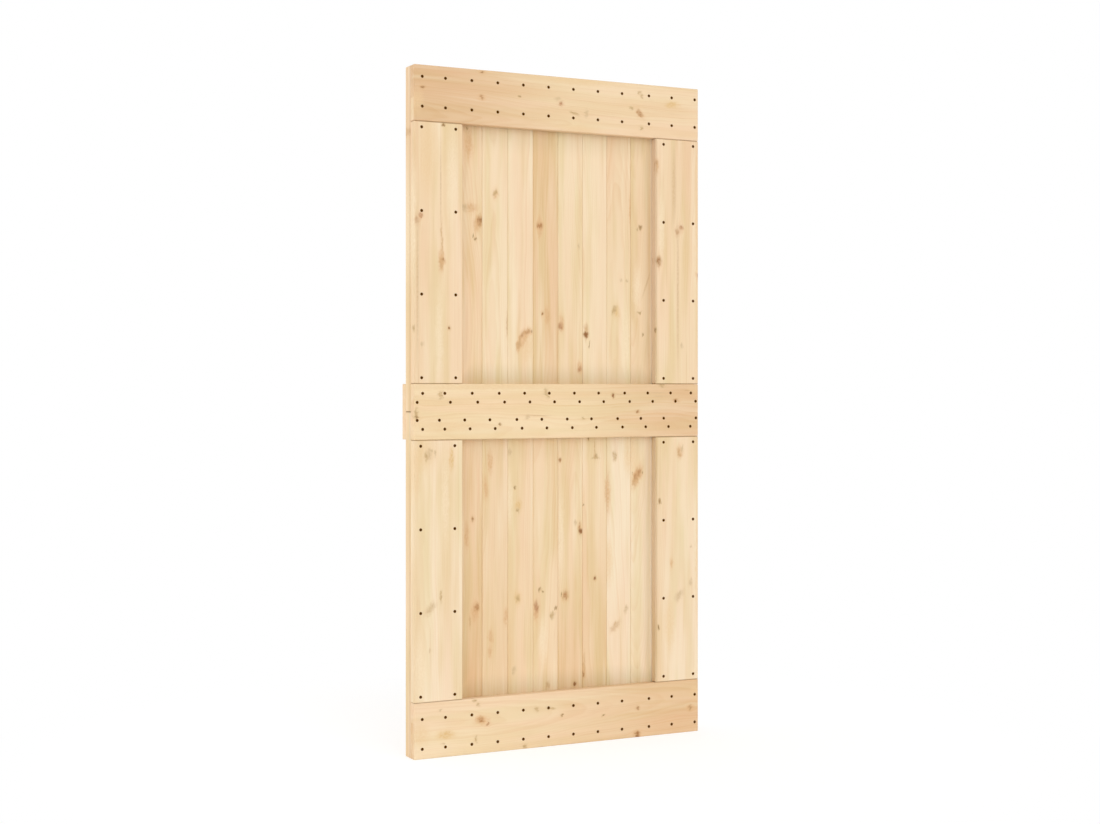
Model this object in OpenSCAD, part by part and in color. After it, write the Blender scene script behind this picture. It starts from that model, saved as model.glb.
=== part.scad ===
// Barn door leaf of solid pine. Upright tongue-and-groove planks make the core, in two tiers
// that butt at mid height. A face frame of rails and stiles is screwed on its front, and one
// rail on its back covers the butt joint of the planks.
// Millimetres, +Z up, front towards -Y, origin on the floor under the middle of the door.

/* [Door] */
// Width of the door
door_w = 1000; // [760:10:1300]
// Height of the door
door_h = 2100; // [1800:10:2600]

/* [Rails and stiles] */
// Width of each rail, measured up the door
rail_w = 170; // [120:5:220]
// Width of each stile
stile_w = 160; // [120:5:220]
// Thickness of the rails and stiles on the front
frame_t = 27; // [18:1:40]
// Thickness of the rail on the back
back_rail_t = 27; // [24:1:40]
// Width of the bevel that eases the edges of the rails and stiles
frame_arris = 2; // [0.5:0.5:4]
// Gap where the end of a stile or plank meets the next board
butt_gap = 0.5; // [0.1:0.1:0.9]

/* [Core planks] */
// Width of face that one plank covers, from seam to seam
plank_cover = 87.5; // [70:0.5:120]
// Thickness of the planks
plank_t = 40; // [32:1:50]
// Width of the bevel that eases the edges of the planks
plank_arris = 1.5; // [0.5:0.5:3]
// Gap at the seam between two planks
seam_gap = 0.2; // [0.1:0.1:0.9]
// Thickness of the tongue along a plank
tongue_t = 10; // [6:0.5:14]
// Reach of the tongue from its plank
tongue_reach = 8; // [5:0.5:10]
// Width of the bevel on the nose of the tongue
tongue_nose = 1.5; // [0.5:0.5:2.5]
// Play round the tongue in its groove
tongue_play = 0.3; // [0.1:0.1:0.6]

/* [Screws] */
// Diameter of the countersunk head
head_d = 9.5; // [6.5:0.5:10]
// Height of the straight rim round the head
head_rim = 0.5; // [0.2:0.1:1]
// Depth of the head below the face of the board
head_sink = 0.8; // [0.2:0.1:2]
// Diameter of the shank
shank_d = 4.5; // [3:0.5:5]
// Length of the point
point_l = 5; // [3:0.5:8]
// Width of the cross recess in the head
recess_w = 1.2; // [0.8:0.1:1.6]
// Length of each bar of the cross recess
recess_l = 4.6; // [3:0.1:5]
// Depth of the cross recess
recess_depth = 1.6; // [0.8:0.1:1.8]
// Play of a screw in its hole
screw_play = 0.1; // [0.05:0.05:0.3]
// Depth that the short screws reach into the planks
plank_bite = 24; // [15:1:28]
// Depth that the long screws of the middle rail reach into the back rail
back_bite = 18; // [10:1:20]
// Number of screws in each column of a stile
stile_rows = 4; // [2:1:6]
// Distance of the outermost screws of a stile from its ends
stile_row_end = 18; // [10:1:60]

/* [Hidden] */
$fn = 48;
// Overrun of every cut past the face that it opens
cut_over = 1;
frame_colour = "#F3D9B4";
plank_colour = "#E4C69C";
screw_colour = "#33271A";

// Heights and depths of the layers
half_w = door_w / 2;
mid_z = door_h / 2;
top_rail_z = door_h - rail_w;
mid_rail_z = mid_z - rail_w / 2;
core_front_y = -plank_t / 2;
front_y = core_front_y - frame_t;
stile_l = (door_h - 3 * rail_w) / 2 - 2 * butt_gap;
lower_stile_z = rail_w + butt_gap;
upper_stile_z = mid_rail_z + rail_w + butt_gap;
plank_l = (door_h - butt_gap) / 2;
upper_plank_z = door_h - plank_l;

// Whole planks fill the middle of the door, and the outer two are ripped to the same width,
// never under half a plank
count_slack_share = 0.001;
plank_count = ceil(door_w / plank_cover - count_slack_share);
last = plank_count - 1;
end_plank_w = (door_w - (plank_count - 2) * plank_cover) / 2;

// Screw places across a plank, as shares of its width. Most were set out by eye, so each plank
// has a drift of its own.
rail_column_share = 0.47;
rail_drift_shares = [-0.03, 0, 0, 0, 0, 0, 0, 0, 0, 0.13, 0.1, 0.32];
upper_column_shares = [0.51, 0.72];
upper_drift_shares = [0, -0.065, -0.025, 0.015, 0.01, -0.01, 0, -0.01, 0.07, 0.04, 0.015, 0];
lower_column_shares = [0.215, 0.42];
lower_drift_shares = [0, 0.025, -0.015, -0.05, 0, -0.015, 0.005, -0.01, 0.07, 0.045, 0.015, 0];
first_upper_shares = [0.46, 0.175];
last_upper_shares = [0.56, 0.845];
first_lower_shares = [0.175, 0.46];
last_lower_shares = [0.865, 0.525];

// Rows of screws up a rail, as shares of its width
top_row_shares = [0.26, 0.79];
bottom_row_shares = [0.18, 0.71];
upper_row_shares = [0.83, 0.67];
lower_row_shares = [0.35, 0.19];

// Columns of screws across each stile, as shares of its width from its left edge
upper_left_shares = [0.16, 0.86];
lower_left_shares = [0.14, 0.84];
right_shares = [0.185, 0.88];

// Left edge of the cell that plank i fills
function seam_x(i) =
    i == 0 ? -half_w : i > last ? half_w : -half_w + end_plank_w + (i - 1) * plank_cover;

// Place across plank i, from a share of its width
function across(i, share) = seam_x(i) + share * (seam_x(i + 1) - seam_x(i));

function drift(shares, i) = shares[i % len(shares)];

// Places of the screws on the face of the door, as [x, z]
function rail_places(rail_z, row_shares) = [
    for (row = row_shares, i = [0:last])
        [across(i, rail_column_share + drift(rail_drift_shares, i)), rail_z + row * rail_w]
];

function column_share(i, k, shares, drifts, first, final) =
    i == 0 ? first[k] : i == last ? final[k] : shares[k] + drift(drifts, i);

function mid_places(row_shares, shares, drifts, first, final) = [
    for (k = [0:len(row_shares) - 1], i = [0:last])
        [across(i, column_share(i, k, shares, drifts, first, final)),
         mid_rail_z + row_shares[k] * rail_w]
];

function stile_places(stile_x, stile_z, column_shares) = [
    for (column = column_shares, k = [0:stile_rows - 1])
        [stile_x + column * stile_w,
         stile_z + stile_row_end + k * (stile_l - 2 * stile_row_end) / (stile_rows - 1)]
];

left_stile_x = -half_w;
right_stile_x = half_w - stile_w;
top_places = rail_places(top_rail_z, top_row_shares);
bottom_places = rail_places(0, bottom_row_shares);
mid_upper_places = mid_places(upper_row_shares, upper_column_shares, upper_drift_shares,
                              first_upper_shares, last_upper_shares);
mid_lower_places = mid_places(lower_row_shares, lower_column_shares, lower_drift_shares,
                              first_lower_shares, last_lower_shares);
upper_left_places = stile_places(left_stile_x, upper_stile_z, upper_left_shares);
upper_right_places = stile_places(right_stile_x, upper_stile_z, right_shares);
lower_left_places = stile_places(left_stile_x, lower_stile_z, lower_left_shares);
lower_right_places = stile_places(right_stile_x, lower_stile_z, right_shares);
mid_rail_places = concat(mid_upper_places, mid_lower_places);
upper_short_places = concat(top_places, upper_left_places, upper_right_places);
lower_short_places = concat(bottom_places, lower_left_places, lower_right_places);

// Screws
head_r = head_d / 2;
shank_r = shank_d / 2;
bore_r = shank_r + screw_play;
head_h = head_rim + head_r - shank_r;
short_l = frame_t - head_sink + plank_bite;
long_l = frame_t - head_sink + plank_t + back_bite;

// Screw pointing down from its head at the origin
module screw(length) {
    difference() {
        rotate_extrude()
            polygon([[0, 0], [head_r, 0], [head_r, -head_rim], [shank_r, -head_h],
                     [shank_r, point_l - length], [0, -length]]);
        for (turn = [0, 90])
            rotate([0, 0, turn])
                translate([-recess_l / 2, -recess_w / 2, -recess_depth])
                    cube([recess_l, recess_w, recess_depth + cut_over]);
    }
}

// Countersunk hole for that screw, open at the face above its head
module screw_hole(length) {
    rotate_extrude()
        polygon([[0, head_sink + cut_over], [head_r + screw_play, head_sink + cut_over],
                 [head_r + screw_play, -head_rim], [bore_r, -head_h],
                 [bore_r, point_l - length], [0, -length - screw_play]]);
}

// Places what its children are at each screw, pointing into the front of the door
module at_screws(places) {
    for (place = places)
        translate([place.x, front_y + head_sink, place.y]) rotate([90, 0, 0]) children();
}

module screws(places, length) {
    color(screw_colour) at_screws(places) screw(length);
}

// Boards
module bevelled_rect(size_x, size_y, bevel) {
    polygon([[bevel, 0], [size_x - bevel, 0], [size_x, bevel], [size_x, size_y - bevel],
             [size_x - bevel, size_y], [bevel, size_y], [0, size_y - bevel], [0, bevel]]);
}

// Board with all its edges eased, its lowest corner at the origin
module eased_board(size, bevel) {
    intersection() {
        linear_extrude(size.z) bevelled_rect(size.x, size.y, bevel);
        translate([0, size.y, 0])
            rotate([90, 0, 0]) linear_extrude(size.y) bevelled_rect(size.x, size.z, bevel);
        rotate([90, 0, 90]) linear_extrude(size.x) bevelled_rect(size.y, size.z, bevel);
    }
}

module rail(y, z, thickness, places, length) {
    color(frame_colour)
        difference() {
            translate([-half_w, y, z]) eased_board([door_w, thickness, rail_w], frame_arris);
            at_screws(places) screw_hole(length);
        }
}

module stile(x, z, places) {
    color(frame_colour)
        difference() {
            translate([x, front_y, z]) eased_board([stile_w, frame_t, stile_l], frame_arris);
            at_screws(places) screw_hole(short_l);
        }
}

// Section of a plank between its shoulders, with its tongue on the right and groove on the left
module plank_section(left, right, has_groove, has_tongue) {
    face = plank_t / 2;
    side = face - plank_arris;
    tongue_half = tongue_t / 2;
    groove_half = tongue_half + tongue_play;
    tip = right + tongue_reach;
    groove_end = left + tongue_reach - seam_gap + tongue_play;
    tongue = [
        [right, -tongue_half], [tip - tongue_nose, -tongue_half], [tip, tongue_nose - tongue_half],
        [tip, tongue_half - tongue_nose], [tip - tongue_nose, tongue_half], [right, tongue_half]
    ];
    groove = [
        [left, groove_half], [groove_end, groove_half],
        [groove_end, -groove_half], [left, -groove_half]
    ];
    polygon(concat(
        [[left + plank_arris, -face], [right - plank_arris, -face], [right, -side]],
        has_tongue ? tongue : [],
        [[right, side], [right - plank_arris, face], [left + plank_arris, face], [left, side]],
        has_groove ? groove : [],
        [[left, -side]]
    ));
}

module plank(i, z, short_places, long_places) {
    left = seam_x(i) + (i > 0 ? seam_gap / 2 : 0);
    right = seam_x(i + 1) - (i < last ? seam_gap / 2 : 0);
    reach = right + (i < last ? tongue_reach : 0);
    near = function(places) [
        for (place = places) if (place.x > left - bore_r && place.x < reach + bore_r) place
    ];
    color(plank_colour)
        difference() {
            intersection() {
                translate([0, 0, z])
                    linear_extrude(plank_l) plank_section(left, right, i > 0, i < last);
                translate([left, core_front_y, z])
                    eased_board([reach - left, plank_t, plank_l], plank_arris);
            }
            at_screws(near(short_places)) screw_hole(short_l);
            at_screws(near(long_places)) screw_hole(long_l);
        }
}

// Nodes
function plank_name(tier, i) = str("plank_", tier, i < 9 ? "_0" : "_", i + 1);

module top_rail() { rail(front_y, top_rail_z, frame_t, top_places, short_l); }
module mid_rail_front() { rail(front_y, mid_rail_z, frame_t, mid_rail_places, long_l); }
module mid_rail_back() { rail(-core_front_y, mid_rail_z, back_rail_t, mid_rail_places, long_l); }
module bottom_rail() { rail(front_y, 0, frame_t, bottom_places, short_l); }
module stile_upper_left() { stile(left_stile_x, upper_stile_z, upper_left_places); }
module stile_upper_right() { stile(right_stile_x, upper_stile_z, upper_right_places); }
module stile_lower_left() { stile(left_stile_x, lower_stile_z, lower_left_places); }
module stile_lower_right() { stile(right_stile_x, lower_stile_z, lower_right_places); }
module plank_upper(i) { plank(i, upper_plank_z, upper_short_places, mid_upper_places); }
module plank_lower(i) { plank(i, 0, lower_short_places, mid_lower_places); }
module top_rail_screws() { screws(top_places, short_l); }
module mid_rail_screws() { screws(mid_rail_places, long_l); }
module bottom_rail_screws() { screws(bottom_places, short_l); }
module stile_upper_left_screws() { screws(upper_left_places, short_l); }
module stile_upper_right_screws() { screws(upper_right_places, short_l); }
module stile_lower_left_screws() { screws(lower_left_places, short_l); }
module stile_lower_right_screws() { screws(lower_right_places, short_l); }

top_rail();
mid_rail_front();
mid_rail_back();
bottom_rail();
stile_upper_left();
stile_upper_right();
stile_lower_left();
stile_lower_right();
for (i = [0:last]) plank_upper(i);
for (i = [0:last]) plank_lower(i);
top_rail_screws();
mid_rail_screws();
bottom_rail_screws();
stile_upper_left_screws();
stile_upper_right_screws();
stile_lower_left_screws();
stile_lower_right_screws();
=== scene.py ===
"""Looks of a pine barn door leaf: planed, unfinished boards with knots, and dark countersunk screws.

Every board is cut from its own procedural log: growth rings around a pith line, fibres along the
grain, and knots that push the rings aside. A place on a board is given along the grain from its left
or bottom end, across it from its bottom or left edge, and in from its front face.
"""

import math
import random

import bpy
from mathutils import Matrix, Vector


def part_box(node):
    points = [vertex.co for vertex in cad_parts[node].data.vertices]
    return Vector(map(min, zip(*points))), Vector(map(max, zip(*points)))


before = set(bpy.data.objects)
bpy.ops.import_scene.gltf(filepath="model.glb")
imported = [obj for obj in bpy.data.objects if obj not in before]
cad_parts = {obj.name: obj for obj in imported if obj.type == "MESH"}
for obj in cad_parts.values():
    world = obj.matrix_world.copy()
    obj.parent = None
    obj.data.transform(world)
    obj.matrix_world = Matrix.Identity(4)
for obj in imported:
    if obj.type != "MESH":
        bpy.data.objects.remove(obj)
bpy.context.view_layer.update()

MM = 0.001

# Photograph in pixels, sensor in millimetres, camera in metres and degrees
PHOTO_W = 1100
HORIZON_ABOVE_CENTRE = 24.85
FOCAL_PIXELS = 1721
SENSOR = 36.0
CAMERA_PLACE = (-2.444, -4.874, 1.125)
CAMERA_TURN = 26.46

# Key lamp over the front and softbox behind the left edge
KEY_ENERGY = 0.8
KEY_ANGLE = 70
KEY_PLACE = (0.3, -3.0, 2.2)
KEY_AIM = (0, 0, 1.2)
RIM_ENERGY = 18
RIM_SIZE = (1.2, 2.6)
RIM_PLACE = (-3.0, 0.7, 1.1)
RIM_AIM = (0, 0, 1.05)

# Light of the surroundings at the horizon and overhead, and the height from which it is overhead
WORLD_HORIZON = 1.09
WORLD_ZENITH = 0.585
WORLD_ZENITH_FROM = 0.9

# Floor in metres: half its side, and the distances between which it fades into the white background
FLOOR_HALF = 40.0
FLOOR_SHADE_FROM = 0.7
FLOOR_SHADE_TO = 1.8
# Floor: least share of that fading, a glow that lifts its shade, and its colour in bounced light
FLOOR_FADE_LEAST = 0.5
FLOOR_FILL = 0.22
FLOOR_GREY = (245, 245, 245)
WHITE = (255, 255, 255)

# Wood tones, as they look in even light
TONES = {
    "cream": (249, 229, 198),
    "pale": (247, 224, 189),
    "butter": (247, 222, 182),
    "straw": (245, 219, 182),
    "honey": (242, 214, 176),
    "wheat": (239, 209, 169),
    "tan": (234, 200, 158),
    "russet": (228, 192, 150),
}

# Tints that the wood is multiplied by
LATE_WOOD = (238, 216, 184)
OLIVE_BAND = (244, 243, 226)
PINK_BAND = (253, 243, 240)
GRAIN_LINE = (236, 222, 200)
RECESS_SHADE = (230, 232, 228)
SIDE_SHADE = (244, 247, 255)
JOINT_SHADE = (196, 184, 168)
LAYER_SHADE = (232, 228, 221)
EDGE_PAINTED_SHADE = (224, 218, 206)

# Lighter wood that some bands turn to, and the painted light that pales the planks in the corners beside the
# right stiles
CREAM_BAND = (252, 235, 206)
CORNER_PAINTED_LIGHT = (250, 240, 222)

# What each board draws for itself: its place in the noise, the pith line's place as a share of the
# width and its depth, the taper of the log, and the width of a ring
SEEDS = (0, 40)
PITH_ASIDE_SHARES = (-0.3, 1.3)
PITH_DEPTHS = (60 * MM, 200 * MM)
TAPERS = (-0.025, 0.025)
RING_WIDTHS = (2.2 * MM, 4.2 * MM)

# Growth rings: how they wander, the shares of a year at which the late wood starts and is darkest,
# and the least that it darkens in a year
WANDER_NOISE = (1.3, 4, 4)
WANDER_SIZE = (0, 30 * MM, 30 * MM)
RIPPLE_NOISE = (6, 18, 18)
RIPPLE_SIZE = (0, 6 * MM, 6 * MM)
UNEVEN_NOISE = (90, 1, 1)
UNEVEN_YEARS = 2.5
LATE_FROM = 0.15
LATE_DARKEST = 0.88
LATE_LEAST = 0.2
RING_CONTRAST = 0.25

# Fibres: their share in the colour, and their height beside that of the late wood
FIBRE_NOISE = (14, 1100, 1100)
FIBRE_CONTRAST = 0.14
FIBRE_HEIGHT = 0.8

# Bands and fine lines of colour: their noise, the values of it between which they appear, and strength
BANDS = {
    "cream": ((1.6, 38, 38), (0.52, 0.72), 0.45),
    "olive": ((2.2, 24, 24), (0.4, 0.65), 0.8),
    "pink": ((1.8, 17, 17), (0.4, 0.65), 0.7),
    "line": ((1.6, 240, 240), (0.56, 0.78), 0.3),
}
# Strength of the cream and olive bands on a rail, beside those on the upright boards
RAIL_BANDS = 0.6

# Planed pine and coated steel: roughness, gloss, and strength and depth of the bump
WOOD_ROUGHNESS = (0.5, 0.66)
WOOD_HEIGHT_MOST = 1.4
WOOD_GLOSS = 0.25
WOOD_BUMP = 0.25
WOOD_BUMP_DEPTH = 0.4 * MM
SCREW_TONES = ((84, 48, 4), (102, 62, 10))
SCREW_NOISE = (900, 900, 900)
SCREW_SPECKS = (0.2, 0.8)
SCREW_ROUGHNESS = (0.45, 0.7)
SCREW_GLOSS = 0.05
SCREW_BUMP = 0.2
SCREW_BUMP_DEPTH = 0.2 * MM

# Axes of the door, and with the same numbers the parts of a place on a board
AXES = ((1, 0, 0), (0, 1, 0), (0, 0, 1))
ALONG, ACROSS, THROUGH = AXES
ON_FACE = (1, 1, 0)
ON_SECTION = (0, 1, 1)
HALF = (0.5, 0.5, 0.5)

# Sides of the door, and how far a face looks to a side as it starts to count and counts in full
LEFT = (-1, 0, 0)
RIGHT = (1, 0, 0)
FRONT = (0, -1, 0)
UP = (0, 0, 1)
FACING_TURN = (0.6, 0.9)
EDGE_TURN = (0.1, 0.4)


def srgb(red, green, blue):
    """Linear RGBA of an sRGB colour given from 0 to 255."""
    def linear(value):
        share = value / 255
        return share / 12.92 if share <= 0.04045 else ((share + 0.055) / 1.055) ** 2.4
    return (linear(red), linear(green), linear(blue), 1.0)


def tone(name):
    return srgb(*TONES[name])


# Shader nodes
def fill(tree, node, inputs):
    """Fills the inputs of a node with values or links."""
    for key, value in inputs.items():
        if isinstance(value, bpy.types.NodeSocket):
            tree.links.new(value, node.inputs[key])
        else:
            node.inputs[key].default_value = value


def add(tree, kind, inputs=None, out=0, **settings):
    """Adds a node, fills its inputs, and returns one of its outputs."""
    node = tree.nodes.new(kind)
    for key, value in settings.items():
        setattr(node, key, value)
    fill(tree, node, inputs or {})
    return node.outputs[out]


def show(tree, surface, kind="ShaderNodeOutputMaterial"):
    """Makes that shader what the material or world shows."""
    tree.links.new(surface, tree.nodes.new(kind).inputs["Surface"])


def calc(tree, operation, a, b=0.0, clamp=False):
    return add(tree, "ShaderNodeMath", {0: a, 1: b}, operation=operation, use_clamp=clamp)


def vector(tree, operation, a, b=(0, 0, 0)):
    return add(tree, "ShaderNodeVectorMath", {0: a, 1: b}, operation=operation)


def length_of(tree, a):
    return add(tree, "ShaderNodeVectorMath", {0: a}, out=1, operation="LENGTH")


def dot(tree, a, b):
    return add(tree, "ShaderNodeVectorMath", {0: a, 1: b}, out=1, operation="DOT_PRODUCT")


def join(tree, x, y, z):
    return add(tree, "ShaderNodeCombineXYZ", {0: x, 1: y, 2: z})


def split(tree, a):
    return [dot(tree, a, axis) for axis in AXES]


def smooth(tree, value, start, end, low=0.0, high=1.0):
    """Goes from low to high, with soft ends, as value goes from start to end."""
    return add(tree, "ShaderNodeMapRange", {0: value, 1: start, 2: end, 3: low, 4: high},
               interpolation_type="SMOOTHSTEP")


def fade(tree, value, start, end, full=1.0):
    """Goes from full to 0, with soft ends, as value goes from start to end."""
    return smooth(tree, value, start, end, full, 0.0)


def blend(tree, share, a, b, mode="MIX"):
    return add(tree, "ShaderNodeMix", {0: share, 6: a, 7: b}, out=2, data_type="RGBA", blend_type=mode)


def tinted(tree, share, colour, tint):
    """The colour, turned by that share towards itself times the tint."""
    return blend(tree, share, colour, blend(tree, 1.0, colour, srgb(*tint), "MULTIPLY"))


def noise(tree, place, stretch, detail=2.0, out=0):
    """Noise with that many features a metre along, across and through the board."""
    scaled = vector(tree, "MULTIPLY", place, stretch)
    return add(tree, "ShaderNodeTexNoise", {"Vector": scaled, "Scale": 1.0, "Detail": detail}, out=out)


def drift(tree, place, stretch, size, detail=2.0):
    """A vector that drifts about zero, by up to about half the size each way."""
    centred = vector(tree, "SUBTRACT", noise(tree, place, stretch, detail, out=1), HALF)
    return vector(tree, "MULTIPLY", centred, size)


def new_group(name, inputs, outputs):
    group = bpy.data.node_groups.new(name, "ShaderNodeTree")
    for socket, kind in inputs:
        group.interface.new_socket(socket, in_out="INPUT", socket_type="NodeSocket" + kind)
    for socket, kind in outputs:
        group.interface.new_socket(socket, in_out="OUTPUT", socket_type="NodeSocket" + kind)
    return group, group.nodes.new("NodeGroupInput").outputs, group.nodes.new("NodeGroupOutput").inputs


def use_group(tree, group, inputs):
    node = tree.nodes.new("ShaderNodeGroup")
    node.node_tree = group
    fill(tree, node, inputs)
    return node.outputs


def new_material(name):
    material = bpy.data.materials.new(name)
    material.use_nodes = True
    material.node_tree.nodes.clear()
    return material, material.node_tree


def show_surface(tree, colour, roughness, gloss, height, bump, depth):
    """Shows a surface of that colour and gloss, with a fine relief."""
    normal = add(tree, "ShaderNodeBump", {"Strength": bump, "Distance": depth, "Height": height})
    show(tree, add(tree, "ShaderNodeBsdfPrincipled", {
        "Base Color": colour, "Roughness": roughness, "Normal": normal, "Specular IOR Level": gloss}))


# Knots and stains: where they fade out, as shares of their half size, depth and halo
BODY_FADE = (0.3, 1.9)
TAIL_FADE = (0.0, 1.0)
DEPTH_FADE = (0.8, 1.0)
HALO_FADE = (0.2, 1.0)
# A knot's tail is long along the grain and narrow, and so is the bend of the grain around it
TAIL_SPREAD = (0.25, 1.4, 0)
BULGE_FALL = (-0.07, -0.3, 0)


def make_mark_group():
    """One knot or stain: paints over what came before and bends the grain around it."""
    group, given, result = new_group(
        "mark",
        [("Place", "Vector"), ("Paint", "Color"), ("Cover", "Float"), ("Warp", "Vector"), ("Waver", "Vector"),
         ("Mottle", "Float"),
         ("Centre", "Vector"), ("Half Size", "Vector"), ("Halo Size", "Vector"), ("Tilt", "Float"),
         ("Core", "Color"), ("Halo Tone", "Color"), ("Strength", "Float"), ("Halo", "Float"),
         ("Tail", "Float"), ("Bulge", "Float")],
        [("Place", "Vector"), ("Paint", "Color"), ("Cover", "Float")])
    offset = vector(group, "SUBTRACT", given["Place"], given["Centre"])
    warp = vector(group, "MULTIPLY", given["Warp"], given["Waver"])
    turned = add(group, "ShaderNodeVectorRotate",
                 {"Vector": vector(group, "ADD", offset, warp), "Angle": given["Tilt"]},
                 rotation_type="Z_AXIS")
    shares = vector(group, "DIVIDE", turned, given["Half Size"])
    deep = fade(group, calc(group, "ABSOLUTE", dot(group, shares, THROUGH)), *DEPTH_FADE)
    body = fade(group, length_of(group, vector(group, "MULTIPLY", shares, ON_FACE)), *BODY_FADE)
    tail = fade(group, length_of(group, vector(group, "MULTIPLY", shares, TAIL_SPREAD)), *TAIL_FADE)
    body = calc(group, "MAXIMUM", body, calc(group, "MULTIPLY", tail, given["Tail"]))
    around = vector(group, "MULTIPLY", vector(group, "DIVIDE", turned, given["Halo Size"]), ON_FACE)
    around = fade(group, length_of(group, around), *HALO_FADE)
    colour = blend(group, body, given["Halo Tone"], given["Core"])
    share = calc(group, "MAXIMUM", calc(group, "MULTIPLY", body, given["Strength"]),
                 calc(group, "MULTIPLY", around, given["Halo"]))
    share = calc(group, "MULTIPLY", share, calc(group, "MULTIPLY", deep, given["Mottle"]), clamp=True)
    bare = calc(group, "SUBTRACT", 1.0, given["Cover"])
    reach = vector(group, "DIVIDE", offset, given["Half Size"])
    reach = dot(group, vector(group, "MULTIPLY", reach, reach), BULGE_FALL)
    push = calc(group, "MULTIPLY", calc(group, "EXPONENT", reach), given["Bulge"])
    push = calc(group, "MULTIPLY", push, calc(group, "MULTIPLY", deep, dot(group, offset, ACROSS)))
    bent = vector(group, "SUBTRACT", given["Place"], join(group, 0.0, push, 0.0))
    cover = calc(group, "ADD", given["Cover"], calc(group, "MULTIPLY", bare, share))
    group.links.new(bent, result["Place"])
    group.links.new(blend(group, share, given["Paint"], colour), result["Paint"])
    group.links.new(cover, result["Cover"])
    return group


def make_grain_group():
    """Growth rings, fibres and bands of one board, without its knots."""
    group, given, result = new_group(
        "grain",
        [("Place", "Vector"), ("Seed", "Vector"), ("Pith", "Vector"), ("Taper", "Float"),
         ("Ring Width", "Float"), ("Contrast", "Float"), ("Bands", "Float"), ("Tone", "Color")],
        [("Colour", "Color"), ("Height", "Float")])

    def band(name, where, out=0):
        stretch, limits, strength = BANDS[name]
        share = smooth(group, noise(group, where, stretch, out=out), *limits)
        return calc(group, "MULTIPLY", share, strength)

    place = vector(group, "ADD", given["Place"], given["Seed"])
    wander = drift(group, place, WANDER_NOISE, WANDER_SIZE, detail=1.0)
    ripple = drift(group, place, RIPPLE_NOISE, RIPPLE_SIZE)
    bent = vector(group, "ADD", given["Place"], vector(group, "ADD", wander, ripple))
    from_pith = vector(group, "MULTIPLY", vector(group, "SUBTRACT", bent, given["Pith"]), ON_SECTION)
    lean = calc(group, "MULTIPLY", dot(group, given["Place"], ALONG), given["Taper"])
    radius = calc(group, "ADD", length_of(group, from_pith), lean)
    years = calc(group, "DIVIDE", radius, given["Ring Width"])
    uneven = noise(group, join(group, radius, 0.0, 0.0), UNEVEN_NOISE)
    years = calc(group, "ADD", years, calc(group, "MULTIPLY", uneven, UNEVEN_YEARS))
    season = calc(group, "FRACT", years)
    late = smooth(group, season, LATE_FROM, LATE_DARKEST)
    late = calc(group, "MULTIPLY", late, fade(group, season, LATE_DARKEST, 1.0))
    year = add(group, "ShaderNodeTexWhiteNoise", {"W": calc(group, "FLOOR", years)}, noise_dimensions="1D")
    year = calc(group, "ADD", calc(group, "MULTIPLY", year, 1.0 - LATE_LEAST), LATE_LEAST)
    late = calc(group, "MULTIPLY", late, year)
    fibre = noise(group, place, FIBRE_NOISE)
    cream = calc(group, "MULTIPLY", band("cream", bent), given["Bands"])
    olive = calc(group, "MULTIPLY", band("olive", place), given["Bands"])
    pink = band("pink", place, out=1)
    line = band("line", vector(group, "ADD", bent, given["Seed"]))
    colour = blend(group, cream, given["Tone"], srgb(*CREAM_BAND))
    for share, tint in ((olive, OLIVE_BAND), (pink, PINK_BAND), (line, GRAIN_LINE)):
        colour = tinted(group, share, colour, tint)
    streaks = calc(group, "MULTIPLY", calc(group, "SUBTRACT", fibre, 0.5), FIBRE_CONTRAST)
    share = calc(group, "ADD", calc(group, "MULTIPLY", late, given["Contrast"]), streaks, clamp=True)
    height = calc(group, "ADD", late, calc(group, "MULTIPLY", fibre, FIBRE_HEIGHT))
    group.links.new(tinted(group, share, colour, LATE_WOOD), result["Colour"])
    group.links.new(height, result["Height"])
    return group


mark_group = make_mark_group()
grain_group = make_grain_group()

# Kinds of mark: core and halo tones, strength, halo, tail, bulge of the grain, and the halo's reach
# past the mark in millimetres along and across. A wash is a broad patch of deeper wood, and the one
# along the top edge of the front mid rail is painted shade; a gleam is a patch of lighter wood.
MARK_KINDS = {
    "knot": ((168, 118, 70), (226, 183, 131), 0.95, 0.4, 0.3, 1.0, (10, 7)),
    "rust": ((186, 134, 84), (228, 182, 132), 0.9, 0.5, 0.3, 0.8, (14, 9)),
    "red": ((186, 132, 90), (232, 190, 146), 0.9, 0.5, 0.3, 0.8, (14, 9)),
    "dark": ((148, 100, 58), (220, 176, 122), 1.4, 0.45, 0.4, 1.0, (9, 7)),
    "pin": ((164, 128, 82), (228, 192, 142), 0.95, 0.3, 0.3, 0.5, (6, 5)),
    "olive": ((199, 165, 117), (228, 200, 154), 0.85, 0.35, 0.1, 0.4, (8, 6)),
    "faint": ((216, 186, 144), (234, 206, 164), 0.8, 0.3, 0.0, 0.3, (6, 5)),
    "blush": ((222, 178, 130), (234, 196, 150), 0.8, 0.45, 0.0, 0.2, (14, 6)),
    "streak": ((206, 163, 115), (232, 196, 148), 0.65, 0.3, 0.0, 0.2, (10, 4)),
    "line": ((218, 184, 141), (232, 202, 160), 0.7, 0.0, 0.0, 0.0, (1, 1)),
    "resin": ((227, 189, 130), (236, 203, 152), 0.8, 0.6, 0.0, 0.2, (14, 8)),
    "wash": ((237, 203, 155), (237, 203, 155), 0.6, 0.0, 0.0, 0.0, (1, 1)),
    "gleam": ((251, 230, 197), (251, 230, 197), 0.6, 0.0, 0.0, 0.0, (1, 1)),
}
# Size of a halo, as shares of the mark's own length and width, to which the kind's reach is added
HALO_SHARES = (1.4, 1.3)
# A mark at least this wide goes through the board and a smaller one ends inside it, at these shares
# of the thickness
THROUGH_HALF_WIDTH = 5
THROUGH_SHARE = 2
INSIDE_SHARE = 0.5

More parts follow.
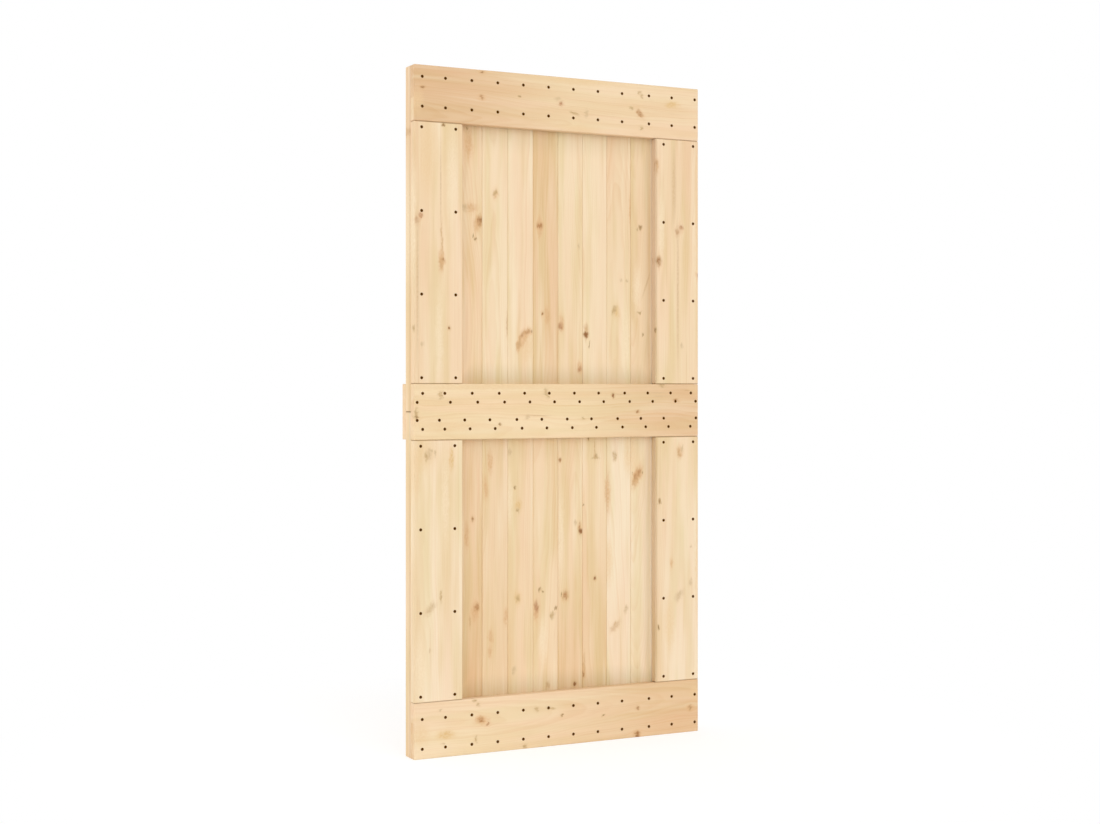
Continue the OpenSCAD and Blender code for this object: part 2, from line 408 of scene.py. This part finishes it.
# How far the outline of a mark wavers and frays, and how uneven its paint is
WAVER_NOISE = (55, 90, 90)
WAVER_SIZE = (22 * MM, 14 * MM, 0)
FRAY_NOISE = (25, 600, 600)
FRAY_SIZE = (12 * MM, 1 * MM, 0)
MOTTLE_NOISE = (110, 190, 190)
MOTTLE_TURN = (0.3, 0.7)
MOTTLE_SHARES = (0.65, 1.15)
# Share of the full waver that the outline of some kinds has
WAVER_SHARES = {"dark": 0.4, "knot": 0.7, "line": 0.1}

# Marks on each board: kind, along, across, half length and half width in millimetres, tilt in degrees
MARKS = {
    "top_rail": [
        ("wash", 560, 160, 150, 10), ("wash", 12, 60, 14, 30), ("wash", 560, 10, 60, 10),
        ("knot", 225, 163, 6, 4), ("knot", 28, 102, 6, 4), ("rust", 224, 86, 7, 6),
        ("pin", 352, 98, 4, 3), ("red", 497, 85, 5, 7), ("faint", 484, 98, 10, 6),
        ("olive", 545, 59, 15, 4, -20), ("faint", 587, 61, 6, 12), ("rust", 781, 75, 15, 8, -50),
        ("olive", 752, 88, 7, 7), ("olive", 780, 142, 6, 7), ("olive", 789, 131, 5, 6),
        ("olive", 785, 28, 4, 7), ("resin", 900, 112, 24, 9)],
    # On the front mid rail the first wash, along its top edge, is painted shade
    "mid_rail_front": [
        ("wash", 280, 161, 280, 8), ("wash", 110, 42, 110, 12), ("olive", 85, 136, 5, 11),
        ("olive", 93, 137, 3, 8), ("olive", 8, 80, 5, 16), ("pin", 10, 70, 5, 5),
        ("olive", 444, 142, 4, 14, 12), ("olive", 451, 136, 3, 10, 12), ("faint", 381, 67, 8, 6),
        ("line", 416, 71, 38, 2), ("pin", 288, 45, 3, 5), ("dark", 683, 133, 4, 7),
        ("knot", 773, 81, 5, 5), ("olive", 863, 164, 11, 7), ("rust", 915, 116, 8, 5),
        ("line", 849, 142, 26, 2), ("line", 856, 131, 26, 2), ("line", 716, 136, 28, 2),
        ("streak", 962, 148, 16, 3), ("olive", 575, 62, 5, 4), ("wash", 985, 152, 18, 14)],
    "bottom_rail": [
        ("wash", 22, 75, 24, 26), ("wash", 988, 125, 16, 20), ("blush", 222, 103, 18, 13),
        ("rust", 221, 104, 8, 8), ("red", 245, 93, 3, 7), ("olive", 214, 150, 4, 6),
        ("olive", 200, 163, 9, 4), ("faint", 86, 144, 5, 4), ("resin", 105, 68, 26, 11),
        ("olive", 206, 46, 4, 9), ("olive", 412, 119, 6, 8), ("olive", 371, 9, 8, 5),
        ("faint", 94, 41, 5, 3), ("pin", 500, 92, 4, 6), ("pin", 646, 81, 4, 4),
        ("knot", 773, 93, 5, 6), ("rust", 970, 78, 5, 8), ("rust", 772, 10, 10, 9),
        ("knot", 772, 8, 6, 6), ("olive", 462, 118, 12, 4)],
    "stile_upper_left": [
        ("wash", 700, 44, 110, 24), ("gleam", 640, 126, 110, 16), ("gleam", 150, 84, 120, 10),
        ("line", 600, 88, 130, 2), ("pin", 787, 97, 6, 5), ("red", 509, 23, 8, 7),
        ("red", 494, 12, 8, 7), ("gleam", 485, 0, 140, 8), ("line", 300, 12, 200, 4),
        ("streak", 430, 91, 60, 3), ("blush", 374, 90, 32, 8), ("streak", 366, 90, 18, 6),
        ("rust", 376, 95, 6, 3), ("dark", 169, 116, 4, 3), ("olive", 168, 1, 8, 2),
        ("faint", 121, 27, 8, 5)],
    "stile_lower_left": [
        ("wash", 760, 30, 46, 30), ("wash", 690, 8, 60, 12), ("gleam", 90, 22, 110, 16),
        ("gleam", 610, 104, 120, 9), ("faint", 748, 48, 17, 10), ("olive", 744, 42, 10, 4),
        ("faint", 763, 54, 7, 6), ("faint", 754, 66, 8, 4), ("resin", 736, 123, 34, 7),
        ("olive", 317, 89, 16, 4), ("faint", 283, 53, 22, 11, 45), ("faint", 156, 53, 6, 3)],
    "stile_upper_right": [
        ("wash", 480, 158, 210, 9), ("gleam", 510, 22, 90, 9), ("red", 716, 5, 6, 3),
        ("blush", 700, 5, 18, 4), ("red", 509, 95, 9, 8), ("red", 494, 82, 9, 8),
        ("line", 300, 83, 200, 4), ("line", 640, 68, 110, 8), ("knot", 397, 12, 15, 9),
        ("faint", 122, 98, 8, 5), ("pin", 173, 0, 7, 2), ("red", 353, 159, 12, 3)],
    "stile_lower_right": [
        ("wash", 370, 158, 150, 8), ("wash", 190, 52, 80, 14), ("blush", 744, 90, 18, 11),
        ("streak", 741, 86, 12, 5), ("faint", 755, 98, 10, 5), ("pin", 585, 15, 8, 5),
        ("faint", 434, 133, 4, 3), ("blush", 382, 60, 14, 5), ("faint", 318, 131, 13, 5),
        ("faint", 277, 88, 20, 10, 38), ("pin", 177, 10, 10, 3)],
    "mid_rail_back": [
        ("knot", 130, 60, 9, 7), ("red", 420, 120, 8, 6), ("streak", 610, 84, 40, 5),
        ("knot", 690, 48, 10, 7), ("olive", 870, 118, 14, 8), ("pin", 300, 30, 5, 4)],
    "plank_upper_01": [
        ("gleam", 570, 0, 140, 6), ("streak", 850, 0, 12, 5), ("knot", 415, 34, 12, 7),
        ("red", 120, 14, 9, 6)],
    "plank_upper_02": [("knot", 700, 52, 12, 8), ("dark", 360, 20, 8, 6), ("olive", 150, 60, 14, 8)],
    "plank_upper_03": [
        ("pin", 873, 37, 4, 3), ("blush", 823, 42, 45, 12), ("blush", 575, 68, 24, 9),
        ("rust", 588, 79, 18, 9), ("knot", 589, 80, 7, 4), ("blush", 628, 52, 14, 20),
        ("faint", 627, 31, 12, 7), ("pin", 541, 60, 5, 3), ("pin", 534, 68, 5, 4)],
    "plank_upper_04": [("blush", 674, 46, 14, 8), ("olive", 677, 44, 7, 5), ("streak", 270, 86, 34, 4)],
    "plank_upper_05": [
        ("wash", 202, 66, 46, 18, 12), ("blush", 226, 58, 18, 8, 24), ("rust", 248, 66, 6, 10, -18),
        ("rust", 236, 54, 13, 5, 38), ("rust", 218, 44, 16, 5, 16), ("blush", 203, 40, 18, 8, 16),
        ("streak", 206, 40, 12, 6, 16), ("knot", 251, 76, 5, 4)],
    "plank_upper_06": [
        ("blush", 575, 24, 34, 8), ("red", 581, 23, 10, 7), ("rust", 581, 23, 6, 5),
        ("blush", 300, 50, 26, 10), ("knot", 305, 34, 5, 4)],
    "plank_upper_07": [
        ("blush", 281, 12, 22, 9), ("red", 265, 8, 12, 6), ("blush", 136, 77, 14, 8),
        ("red", 132, 77, 9, 7), ("faint", 521, 74, 8, 4)],
    "plank_upper_08": [("streak", 262, 12, 13, 7), ("dark", 242, 12, 9, 7), ("pin", 208, 23, 11, 2)],
    "plank_upper_09": [
        ("gleam", 230, 70, 90, 12), ("faint", 419, 52, 5, 4), ("faint", 417, 72, 6, 5),
        ("resin", 318, 36, 16, 8), ("olive", 322, 27, 13, 6, 20), ("blush", 645, 85, 40, 3)],
    "plank_upper_10": [
        ("gleam", 390, 24, 60, 12), ("pin", 591, 35, 7, 6), ("olive", 583, 26, 6, 4),
        ("pin", 315, 34, 5, 4), ("olive", 318, 34, 3, 8), ("pin", 244, 46, 5, 4),
        ("line", 412, 60, 44, 3, 20)],
    "plank_upper_11": [("red", 760, 30, 10, 7), ("knot", 480, 66, 13, 8), ("knot", 200, 24, 10, 6)],
    "plank_upper_12": [("knot", 610, 26, 11, 7), ("olive", 300, 40, 14, 7)],
    "plank_lower_01": [("knot", 790, 30, 11, 7), ("knot", 180, 40, 10, 6)],
    "plank_lower_02": [("red", 860, 24, 10, 7), ("knot", 520, 58, 12, 8), ("dark", 240, 30, 8, 6)],
    "plank_lower_03": [
        ("knot", 718, 56, 7, 5), ("blush", 430, 62, 30, 12), ("rust", 446, 68, 11, 8),
        ("streak", 402, 49, 20, 4), ("blush", 667, 36, 40, 7)],
    "plank_lower_04": [
        ("blush", 893, 27, 34, 8), ("blush", 813, 13, 34, 7), ("blush", 352, 29, 22, 8),
        ("blush", 305, 27, 18, 5), ("blush", 410, 80, 25, 6)],
    "plank_lower_05": [
        ("gleam", 770, 6, 70, 8), ("pin", 813, 23, 5, 3), ("resin", 757, 38, 14, 10),
        ("olive", 741, 33, 6, 5), ("resin", 466, 34, 14, 10), ("olive", 465, 34, 8, 5),
        ("faint", 923, 8, 12, 6), ("faint", 243, 20, 12, 7)],
    "plank_lower_06": [
        ("gleam", 330, 36, 60, 12), ("pin", 489, 23, 7, 5), ("pin", 482, 33, 5, 4),
        ("blush", 415, 11, 26, 8), ("red", 436, 12, 20, 7), ("pin", 427, 78, 6, 4),
        ("olive", 406, 67, 11, 8), ("streak", 187, 51, 11, 7)],
    "plank_lower_07": [
        ("gleam", 660, 9, 110, 9), ("knot", 895, 6, 7, 4), ("faint", 694, 62, 8, 4),
        ("rust", 682, 78, 11, 4), ("dark", 667, 80, 9, 5), ("rust", 466, 26, 12, 9),
        ("pin", 470, 16, 6, 3), ("dark", 184, 59, 6, 5)],
    "plank_lower_08": [
        ("pin", 963, 22, 5, 4), ("pin", 905, 46, 5, 5), ("olive", 900, 46, 4, 14),
        ("streak", 928, 43, 26, 2), ("pin", 750, 4, 3, 2), ("dark", 515, 44, 5, 4),
        ("streak", 241, 5, 34, 4), ("rust", 212, 3, 10, 2), ("blush", 792, 83, 36, 3)],
    "plank_lower_09": [
        ("wash", 905, 78, 50, 12), ("wash", 570, 8, 60, 10), ("blush", 786, 4, 60, 7),
        ("olive", 905, 28, 16, 6), ("streak", 357, 30, 22, 9, 40), ("faint", 411, 70, 13, 6)],
    "plank_lower_10": [
        ("wash", 905, 8, 62, 16), ("blush", 838, 23, 34, 12, 22), ("rust", 850, 29, 11, 8, 20),
        ("rust", 835, 23, 9, 6, 22), ("streak", 818, 17, 15, 7, 22), ("pin", 848, 33, 3, 2),
        ("pin", 845, 13, 3, 2)],
    "plank_lower_11": [("knot", 800, 58, 12, 8), ("olive", 560, 22, 16, 8), ("red", 210, 50, 10, 7)],
    "plank_lower_12": [("dark", 720, 20, 8, 6), ("knot", 330, 38, 12, 7)],
}

# Tone at the start and at the end of a board, and the shares of its length between which it turns
BOARD_TONES = {
    "top_rail": ("russet", "straw", 0.0, 0.6),
    "mid_rail_front": ("butter", "tan", 0.45, 0.95),
    "mid_rail_back": ("honey", "pale", 0.1, 0.8),
    "bottom_rail": ("pale", "tan", 0.2, 1.0),
    "stile_upper_left": ("pale", "straw", 0.1, 0.9),
    "stile_upper_right": ("straw", "honey", 0.4, 0.9),
    "stile_lower_left": ("cream", "pale", 0.2, 0.9),
    "stile_lower_right": ("cream", "pale", 0.3, 0.9),
}
# Tone at the left edge of a stile, and the share of its width at which it has turned to the stile's own
LEFT_TONES = {
    "stile_upper_left": ("honey", 0.45),
    "stile_upper_right": ("pale", 0.35),
    "stile_lower_right": ("honey", 0.4),
}
# End grain of the rails: tone below and above a glue line, and its height up the rail in millimetres
END_TONES = {
    "top_rail": ("honey", "russet", 70),
    "mid_rail_front": ("honey", "wheat", 85),
    "bottom_rail": ("tan", "honey", 110),
}
GLUE_LINE_HALF = 2
# Tones of the planks from left to right, and the shares of their length between which they turn
PLANK_TONES = {
    "upper": ["straw to wheat", "honey", "straw", "pale", "pale", "wheat", "straw to pale", "pale",
              "pale to honey", "honey", "pale", "straw"],
    "lower": ["honey", "straw", "tan to honey", "wheat to honey", "straw", "straw", "wheat to straw",
              "wheat to straw", "cream", "cream", "straw", "honey"],
}
PLANK_TURN = (0.15, 0.7)

# How far they reach: the dark joint lines, the painted shade on a plank's edge behind the front boards and
# along a right stile's front edge, the painted light in a corner beside a right stile, and the painted shade
# from the sides of the recesses
JOINT_REACH = 3.5 * MM
LAYER_REACH = 15 * MM
EDGE_SHADE_REACH = 9 * MM
CORNER_LIGHT_REACH = 8 * MM
RECESS_CORNER = 16 * MM
RECESS_ASIDE = 45 * MM
RECESS_ABOVE = 75 * MM
RECESS_BELOW = 90 * MM
# Share of the shade in a recess: beside a stile and in the corner there, above a rail, and below one
ASIDE_SHARE = 0.6
ASIDE_CORNER_SHARE = 0.5
ABOVE_SHARE = 0.88
BELOW_SHARES = {"upper": 0.62, "lower": 0.38}
# Share of the painted light that pales a plank in the corner beside a right stile
CORNER_LIGHT_SHARE = 0.5


def board_list():
    boards = list(BOARD_TONES)
    for tier, tones in PLANK_TONES.items():
        boards += [f"plank_{tier}_{i + 1:02d}" for i in range(len(tones))]
    return boards


def board_tone(name):
    if name in BOARD_TONES:
        return BOARD_TONES[name]
    tier, number = name.split("_")[1:]
    foot, *top = PLANK_TONES[tier][int(number) - 1].split(" to ")
    return (foot, *(top or [foot]), *PLANK_TURN)


def tier_of(name):
    return name.split("_")[1]


def paint_marks(tree, place, marks, thickness):
    """Lays the marks of one board over each other."""
    warp = vector(tree, "ADD", drift(tree, place, WAVER_NOISE, WAVER_SIZE),
                  drift(tree, place, FRAY_NOISE, FRAY_SIZE, detail=1.0))
    mottle = smooth(tree, noise(tree, place, MOTTLE_NOISE, detail=3.0), *MOTTLE_TURN, *MOTTLE_SHARES)
    state = {"Place": place, "Paint": (0.0, 0.0, 0.0, 1.0), "Cover": 0.0}
    for kind, along, across, half_long, half_wide, *tilt in marks:
        core, halo_tone, strength, halo, tail, bulge, (halo_along, halo_across) = MARK_KINDS[kind]
        depth = thickness * (THROUGH_SHARE if half_wide >= THROUGH_HALF_WIDTH else INSIDE_SHARE)
        halo_long = HALO_SHARES[0] * half_long + halo_along
        halo_wide = HALO_SHARES[1] * half_wide + halo_across
        waver = WAVER_SHARES.get(kind, 1.0)
        outputs = use_group(tree, mark_group, {
            **state, "Warp": warp, "Waver": (waver, waver, 0.0), "Mottle": mottle,
            "Centre": (along * MM, across * MM, 0.0),
            "Half Size": (half_long * MM, half_wide * MM, depth),
            "Halo Size": (halo_long * MM, halo_wide * MM, 1.0),
            "Tilt": math.radians(-tilt[0] if tilt else 0),
            "Core": srgb(*core), "Halo Tone": srgb(*halo_tone),
            "Strength": strength, "Halo": halo, "Tail": tail, "Bulge": bulge})
        state = {key: outputs[key] for key in state}
    return state


def board_place(tree, low, upright):
    """Place on the board in metres: along the grain, across it, and in from the front face."""
    point = add(tree, "ShaderNodeTexCoord", out="Object")
    x, y, z = split(tree, vector(tree, "SUBTRACT", point, tuple(low)))
    return join(tree, z, x, y) if upright else join(tree, x, z, y)


def facing(tree, direction):
    """1 on the faces of the board that look in that direction."""
    normal = add(tree, "ShaderNodeTexCoord", out="Normal")
    return smooth(tree, dot(tree, normal, direction), *FACING_TURN)


def near_end(tree, name, place, length):
    """1 at the joints across the grain: the ends of a stile, and where the two tiers of planks butt."""
    along = dot(tree, place, ALONG)
    to_end = calc(tree, "SUBTRACT", length, along)
    if name.startswith("stile"):
        gap = calc(tree, "MINIMUM", along, to_end)
    elif name.startswith("plank"):
        gap = along if tier_of(name) == "upper" else to_end
    else:
        return 0.0
    return fade(tree, gap, 0.0, JOINT_REACH)


def behind_front(tree, name, place):
    """1 on the edges of a plank right behind the front boards, which stand a hair proud of it; painted shade
    darkens it there.
    """
    if not name.startswith("plank"):
        return 0.0
    normal = add(tree, "ShaderNodeTexCoord", out="Normal")
    edge = fade(tree, calc(tree, "ABSOLUTE", dot(tree, normal, FRONT)), *EDGE_TURN)
    return calc(tree, "MULTIPLY", edge, fade(tree, dot(tree, place, THROUGH), 0.0, LAYER_REACH))


def edge_painted_shade(tree, name, place):
    """1 along the front edge of a right stile, beside the planks, where painted shade stands for a rounded
    edge turned from the light.
    """
    if not (name.startswith("stile") and name.endswith("right")):
        return 0.0
    edge = fade(tree, dot(tree, place, ACROSS), 0.0, EDGE_SHADE_REACH)
    return calc(tree, "MULTIPLY", edge, facing(tree, FRONT))


def in_recess(tree, name):
    """How far the front of a plank is shaded: most right above a rail, less beside the other edges."""
    if not name.startswith("plank"):
        return 0.0
    tier = tier_of(name)
    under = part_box("mid_rail_front" if tier == "upper" else "bottom_rail")[1].z
    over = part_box("top_rail" if tier == "upper" else "mid_rail_front")[0].z
    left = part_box(f"stile_{tier}_left")[1].x
    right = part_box(f"stile_{tier}_right")[0].x
    x, y, z = split(tree, add(tree, "ShaderNodeTexCoord", out="Object"))
    aside = calc(tree, "MINIMUM", calc(tree, "SUBTRACT", x, left), calc(tree, "SUBTRACT", right, x))
    above = calc(tree, "SUBTRACT", z, under)
    below = calc(tree, "SUBTRACT", over, z)
    shade = calc(tree, "MINIMUM", smooth(tree, aside, 0.0, RECESS_CORNER, 0.0, ASIDE_CORNER_SHARE),
                 fade(tree, aside, 0.0, RECESS_ASIDE, ASIDE_SHARE))
    shade = calc(tree, "MAXIMUM", shade, fade(tree, above, 0.0, RECESS_ABOVE, ABOVE_SHARE))
    shade = calc(tree, "MAXIMUM", shade, fade(tree, below, 0.0, RECESS_BELOW, BELOW_SHARES[tier]))
    open_front = calc(tree, "LESS_THAN", y, 0.0)
    for distance in (aside, above, below):
        open_front = calc(tree, "MULTIPLY", open_front, calc(tree, "GREATER_THAN", distance, -MM))
    return calc(tree, "MULTIPLY", shade, open_front)


def painted_corner_light(tree, name):
    """How far painted light pales a plank in the corner beside a right stile, against the shade there."""
    if not name.startswith("plank"):
        return 0.0
    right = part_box(f"stile_{tier_of(name)}_right")[0].x
    point = add(tree, "ShaderNodeTexCoord", out="Object")
    aside = calc(tree, "SUBTRACT", right, dot(tree, point, RIGHT))
    pale = fade(tree, aside, 0.0, CORNER_LIGHT_REACH, CORNER_LIGHT_SHARE)
    pale = calc(tree, "MULTIPLY", pale, calc(tree, "GREATER_THAN", aside, -MM))
    return calc(tree, "MULTIPLY", pale, facing(tree, FRONT))


def inner_side(tree, name):
    """1 on the side of a stile that looks over the planks, where painted shade darkens it."""
    if not name.startswith("stile"):
        return 0.0
    return facing(tree, RIGHT if name.endswith("left") else LEFT)


def left_tone(tree, name, place, width, plain):
    """Turns the left edge of a stile to its own tone."""
    if name not in LEFT_TONES:
        return plain
    edge, reach = LEFT_TONES[name]
    return blend(tree, smooth(tree, dot(tree, place, ACROSS), 0.0, reach * width), tone(edge), plain)


def end_tone(tree, name, place, plain):
    """Turns the end grain of a glued-up rail into its two tones, one above the other."""
    if name not in END_TONES:
        return plain
    below, above, glue_line = END_TONES[name]
    limits = ((glue_line - GLUE_LINE_HALF) * MM, (glue_line + GLUE_LINE_HALF) * MM)
    higher = smooth(tree, dot(tree, place, ACROSS), *limits)
    ends = calc(tree, "MAXIMUM", facing(tree, LEFT), facing(tree, RIGHT))
    return blend(tree, ends, plain, blend(tree, higher, tone(below), tone(above)))


def board_material(name, index):
    low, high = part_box(name)
    upright = high.z - low.z > high.x - low.x
    length = high.z - low.z if upright else high.x - low.x
    width = high.x - low.x if upright else high.z - low.z
    thickness = high.y - low.y
    draw = random.Random(index)
    material, tree = new_material(name + "_pine")
    place = board_place(tree, low, upright)
    marks = paint_marks(tree, place, MARKS.get(name, []), thickness)
    start, end, turn_from, turn_to = board_tone(name)
    turn = smooth(tree, dot(tree, place, ALONG), turn_from * length, turn_to * length)
    plain = left_tone(tree, name, place, width, blend(tree, turn, tone(start), tone(end)))
    plain = end_tone(tree, name, place, plain)
    grain = use_group(tree, grain_group, {
        "Place": marks["Place"],
        "Seed": (draw.uniform(*SEEDS), draw.uniform(*SEEDS), draw.uniform(*SEEDS)),
        "Pith": (0.0, draw.uniform(*PITH_ASIDE_SHARES) * width,
                 draw.choice((-1, 1)) * draw.uniform(*PITH_DEPTHS)),
        "Taper": draw.uniform(*TAPERS),
        "Ring Width": draw.uniform(*RING_WIDTHS),
        "Contrast": RING_CONTRAST,
        "Bands": 1.0 if upright else RAIL_BANDS,
        "Tone": plain})
    bare = blend(tree, marks["Cover"], grain["Colour"], (0.0, 0.0, 0.0, 1.0))
    colour = blend(tree, 1.0, bare, marks["Paint"], "ADD")
    # Painted light in the corner beside a right stile; then dark joint lines at board ends, and painted shade
    # behind the front boards, along a right stile's front edge, in the recesses and on a stile's inner side
    colour = blend(tree, painted_corner_light(tree, name), colour, srgb(*CORNER_PAINTED_LIGHT))
    for share, tint in ((near_end(tree, name, place, length), JOINT_SHADE),
                        (behind_front(tree, name, place), LAYER_SHADE),
                        (edge_painted_shade(tree, name, place), EDGE_PAINTED_SHADE),
                        (in_recess(tree, name), RECESS_SHADE), (inner_side(tree, name), SIDE_SHADE)):
        colour = tinted(tree, share, colour, tint)
    roughness = smooth(tree, grain["Height"], 0.0, WOOD_HEIGHT_MOST, *WOOD_ROUGHNESS)
    show_surface(tree, colour, roughness, WOOD_GLOSS, grain["Height"], WOOD_BUMP, WOOD_BUMP_DEPTH)
    return material


def screw_material():
    """Dark brown-black coating on steel, a little worn and uneven."""
    material, tree = new_material("screw_coating")
    speck = noise(tree, add(tree, "ShaderNodeTexCoord", out="Object"), SCREW_NOISE, detail=3.0)
    colour = blend(tree, speck, *(srgb(*tint) for tint in SCREW_TONES))
    roughness = smooth(tree, speck, *SCREW_SPECKS, *SCREW_ROUGHNESS)
    show_surface(tree, colour, roughness, SCREW_GLOSS, speck, SCREW_BUMP, SCREW_BUMP_DEPTH)
    return material


def dress(node, material):
    node.data.materials.clear()
    node.data.materials.append(material)


for index, board in enumerate(board_list()):
    dress(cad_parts[board], board_material(board, index))
coating = screw_material()
for name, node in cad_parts.items():
    if name.endswith("_screws"):
        dress(node, coating)


# Stage
def seen_directly(tree):
    """1 for what the camera sees directly, in a reflection or through glass."""
    paths = tree.nodes.new("ShaderNodeLightPath").outputs
    share = calc(tree, "MAXIMUM", paths["Is Camera Ray"], paths["Is Glossy Ray"])
    return calc(tree, "MAXIMUM", share, paths["Is Transmission Ray"])


def floor_material():
    """Keeps the door's shadow near it, and is as white as the background further out."""
    material, tree = new_material("floor_white")
    seen = seen_directly(tree)
    matt = add(tree, "ShaderNodeBsdfDiffuse", {"Color": blend(tree, seen, srgb(*FLOOR_GREY), srgb(*WHITE))})
    glow = add(tree, "ShaderNodeEmission", {"Strength": calc(tree, "MULTIPLY", seen, FLOOR_FILL)})
    matt = add(tree, "ShaderNodeAddShader", {0: matt, 1: glow})
    white = add(tree, "ShaderNodeEmission", {"Color": srgb(*WHITE), "Strength": 1.0})
    point = add(tree, "ShaderNodeTexCoord", out="Object")
    far = smooth(tree, length_of(tree, point), FLOOR_SHADE_FROM, FLOOR_SHADE_TO)
    far = smooth(tree, far, 0.0, 1.0, FLOOR_FADE_LEAST, 1.0)
    far = calc(tree, "MULTIPLY", far, seen)
    show(tree, add(tree, "ShaderNodeMixShader", {0: far, 1: matt, 2: white}))
    return material


def make_floor():
    mesh = bpy.data.meshes.new("floor")
    corners = [(x * FLOOR_HALF, y * FLOOR_HALF, 0) for x, y in ((-1, -1), (1, -1), (1, 1), (-1, 1))]
    mesh.from_pydata(corners, [], [(0, 1, 2, 3)])
    floor = bpy.data.objects.new("floor", mesh)
    bpy.context.scene.collection.objects.link(floor)
    mesh.materials.append(floor_material())


def make_world():
    """White all round to the camera; as a lamp it is brightest low down, like studio walls."""
    world = bpy.data.worlds.new("studio")
    bpy.context.scene.world = world
    world.use_nodes = True
    tree = world.node_tree
    tree.nodes.clear()
    height = dot(tree, add(tree, "ShaderNodeTexCoord", out="Generated"), UP)
    lamp = smooth(tree, height, 0.0, WORLD_ZENITH_FROM, WORLD_HORIZON, WORLD_ZENITH)
    level = smooth(tree, seen_directly(tree), 0.0, 1.0, lamp, 1.0)
    surface = add(tree, "ShaderNodeBackground", {"Color": srgb(*WHITE), "Strength": level})
    show(tree, surface, "ShaderNodeOutputWorld")


def add_light(data, place, aim):
    holder = bpy.data.objects.new(data.name, data)
    holder.location = place
    holder.rotation_euler = (Vector(aim) - Vector(place)).to_track_quat("-Z", "Y").to_euler()
    bpy.context.scene.collection.objects.link(holder)


def make_lights():
    """A broad even key from above the front, and a softbox behind the left edge."""
    key = bpy.data.lights.new("key", "SUN")
    key.energy = KEY_ENERGY
    key.angle = math.radians(KEY_ANGLE)
    add_light(key, KEY_PLACE, KEY_AIM)
    rim = bpy.data.lights.new("rim", "AREA")
    rim.shape = "RECTANGLE"
    rim.size, rim.size_y = RIM_SIZE
    rim.energy = RIM_ENERGY
    add_light(rim, RIM_PLACE, RIM_AIM)


def make_camera():
    data = bpy.data.cameras.new("camera")
    data.sensor_width = SENSOR
    data.lens = FOCAL_PIXELS / PHOTO_W * SENSOR
    data.shift_y = -HORIZON_ABOVE_CENTRE / PHOTO_W
    camera = bpy.data.objects.new("camera", data)
    camera.location = CAMERA_PLACE
    camera.rotation_euler = (math.radians(90), 0, math.radians(-CAMERA_TURN))
    bpy.context.scene.collection.objects.link(camera)
    bpy.context.scene.camera = camera


make_floor()
make_world()
make_lights()
make_camera()
bpy.context.scene.view_settings.view_transform = "Standard"
